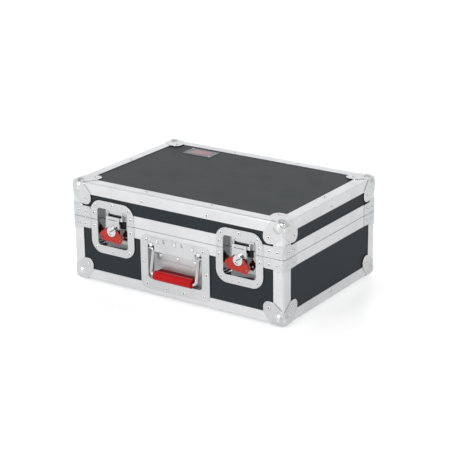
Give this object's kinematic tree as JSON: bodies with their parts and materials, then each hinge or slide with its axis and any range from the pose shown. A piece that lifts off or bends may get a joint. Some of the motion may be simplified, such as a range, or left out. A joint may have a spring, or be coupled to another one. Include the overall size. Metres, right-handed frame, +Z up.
{
  "type": "microphone case",
  "caption": "Rectangular road case with dark panels, metal edging and ball corners, recessed twist latches, a red folding handle, and foam pockets under a hinged lid.",
  "frame": {"origin": "on the ground under the middle of the case body, level with the undersides of the ball corners", "axes": "+X to the case's right seen from the front along its length, -Y out of the front with the latches, +Z up"},
  "size_m": [0.514, 0.3694, 0.218],
  "materials": {
    "laminate": "smooth dark laminate on plywood",
    "edging": "satin anodised",
    "steel": "zinc plated",
    "chrome": "bright plated",
    "wing": "satin red powder coat",
    "grip": "soft red grip",
    "foam": "charcoal foam",
    "plate": "bare dark plate"
  },
  "bodies": {
    "base": {"base_ball_corners": "steel", "base_corner_braces": "steel", "base_edge_back": "edging", "base_edge_front": "edging", "base_edge_left": "edging", "base_edge_right": "edging", "base_floor_pad": "foam", "base_foam_insert": "foam", "base_panel_back": "laminate", "base_panel_bottom": "laminate", "base_panel_front": "laminate", "base_panel_left": "laminate", "base_panel_right": "laminate", "base_posts": "edging", "base_rim_back": "edging", "base_rim_front": "edging", "base_rim_left": "edging", "base_rim_right": "edging", "base_rivets": "steel", "handle_cover_plate": "steel", "handle_dish": "steel", "hinge_base_leaves": "steel", "hinge_pins": "chrome", "left_latch_base": "steel", "left_latch_dish_lower": "steel", "right_latch_base": "steel", "right_latch_dish_lower": "steel"},
    "lid": {"hinge_lid_leaves": "steel", "left_latch_dish_upper": "steel", "left_latch_keeper": "steel", "lid_ball_corners": "steel", "lid_corner_braces": "steel", "lid_edge_back": "edging", "lid_edge_front": "edging", "lid_edge_left": "edging", "lid_edge_right": "edging", "lid_foam": "foam", "lid_panel_back": "laminate", "lid_panel_front": "laminate", "lid_panel_left": "laminate", "lid_panel_right": "laminate", "lid_panel_top": "laminate", "lid_posts": "edging", "lid_rim_back": "edging", "lid_rim_front": "edging", "lid_rim_left": "edging", "lid_rim_right": "edging", "lid_rivets": "steel", "name_plate": "plate", "right_latch_dish_upper": "steel", "right_latch_keeper": "steel"},
    "handle": {"handle_bail": "chrome", "handle_grip": "grip"},
    "left_hook": {"left_latch_hook": "steel"},
    "left_spindle": {"left_latch_spindle": "chrome"},
    "left_wing": {"left_latch_wing": "wing"},
    "right_hook": {"right_latch_hook": "steel"},
    "right_spindle": {"right_latch_spindle": "chrome"},
    "right_wing": {"right_latch_wing": "wing"}
  },
  "joints": [
    {"name": "lid_hinge", "type": "hinge", "parent": "base", "child": "lid", "pos_m": [0, 0.1775, 0.13915], "axis": [-1, 0, 0], "range_deg": [0, 100]},
    {"name": "handle_swing", "type": "hinge", "parent": "base", "child": "handle", "pos_m": [0, -0.1684, 0.103], "axis": [-1, 0, 0], "range_deg": [0, 78]},
    {"name": "left_latch_twist", "type": "hinge", "parent": "base", "child": "left_spindle", "pos_m": [-0.1568, -0.173, 0.119], "axis": [0, 1, 0], "range_deg": [0, 180]},
    {"name": "left_hook_slide", "type": "slide", "parent": "base", "child": "left_hook", "axis": [0, 0, 1], "range_m": [0, 0.009]},
    {"name": "left_wing_fold", "type": "hinge", "parent": "left_spindle", "child": "left_wing", "pos_m": [-0.15666, -0.17175, 0.121], "axis": [-0.9976, 0, 0.0698], "range_deg": [0, 90]},
    {"name": "right_latch_twist", "type": "hinge", "parent": "base", "child": "right_spindle", "pos_m": [0.1478, -0.173, 0.119], "axis": [0, 1, 0], "range_deg": [0, 180]},
    {"name": "right_hook_slide", "type": "slide", "parent": "base", "child": "right_hook", "axis": [0, 0, 1], "range_m": [0, 0.009]},
    {"name": "right_wing_fold", "type": "hinge", "parent": "right_spindle", "child": "right_wing", "pos_m": [0.14804, -0.17175, 0.12098], "axis": [-0.9925, 0, 0.1219], "range_deg": [0, 90]}
  ],
  "couplings": [
    {"joint": "left_hook_slide", "follows": "left_latch_twist", "m_per_rad": 0.0028647},
    {"joint": "right_hook_slide", "follows": "right_latch_twist", "m_per_rad": 0.0028647}
  ]
}
